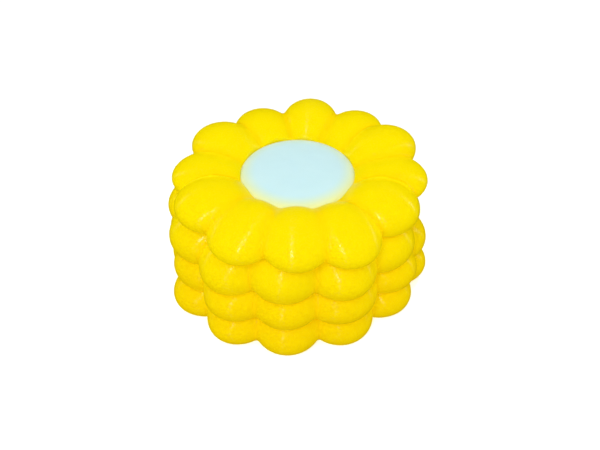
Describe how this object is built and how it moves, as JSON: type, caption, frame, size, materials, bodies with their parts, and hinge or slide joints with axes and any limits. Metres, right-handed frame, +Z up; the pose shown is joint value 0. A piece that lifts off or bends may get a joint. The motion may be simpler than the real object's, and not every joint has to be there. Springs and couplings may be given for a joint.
{
  "type": "corn cob slice",
  "caption": "Short round section of a corn cob with bulging fused kernels in rings around a pale core, standing upright on its flat cut end.",
  "frame": {"origin": "middle of the flat underside, on the axis of the core", "axes": "+Z up along the axis of the core, the cob's own length; -Y faces the first column of kernels"},
  "size_m": [0.0505, 0.0505, 0.0257],
  "materials": {
    "kernel_yellow": "satin, slightly translucent bright yellow, its highlights broken into fine dots",
    "core_pale": "soft matte, very pale blue-white"
  },
  "bodies": {
    "root": {"kernel_body": "kernel_yellow", "cob_core": "core_pale"}
  },
  "joints": []
}
